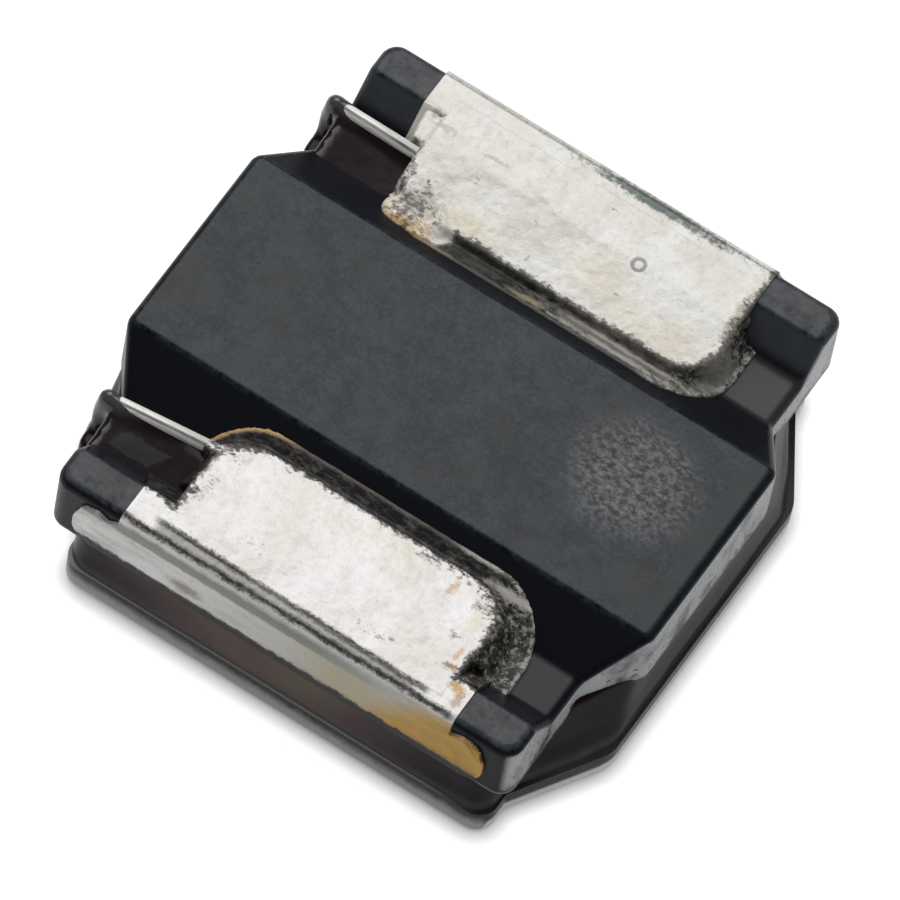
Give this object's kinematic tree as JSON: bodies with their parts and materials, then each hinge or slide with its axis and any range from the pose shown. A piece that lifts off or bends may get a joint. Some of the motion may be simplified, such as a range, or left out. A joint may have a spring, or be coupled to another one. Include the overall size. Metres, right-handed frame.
{
  "type": "smd power inductor",
  "caption": "Low square surface-mount power inductor: a ferrite drum core with wire wound between its flanges, resin over the winding, and solder-filled plated grooves as its terminals.",
  "frame": {"origin": "middle of the case in plan, on the outer face of the plain cap flange", "axes": "+Z from the cap flange to the terminals, which face up; X along the grooves, with the wire ends at -X; Y across the grooves"},
  "size_m": [0.004, 0.004, 0.0012],
  "materials": {
    "ferrite": "matte, finely pitted",
    "copper_wire": "enamelled copper, tinned where it leaves the resin",
    "resin": "glossy, slightly brown",
    "metal_film": "satin silver, stained yellow in places",
    "solder": "uneven dull tin"
  },
  "bodies": {
    "root": {"drum_core": "ferrite", "winding": "copper_wire", "overcoat": "resin", "terminal_front": "metal_film", "terminal_back": "metal_film", "solder_front": "solder", "solder_back": "solder"}
  },
  "joints": []
}
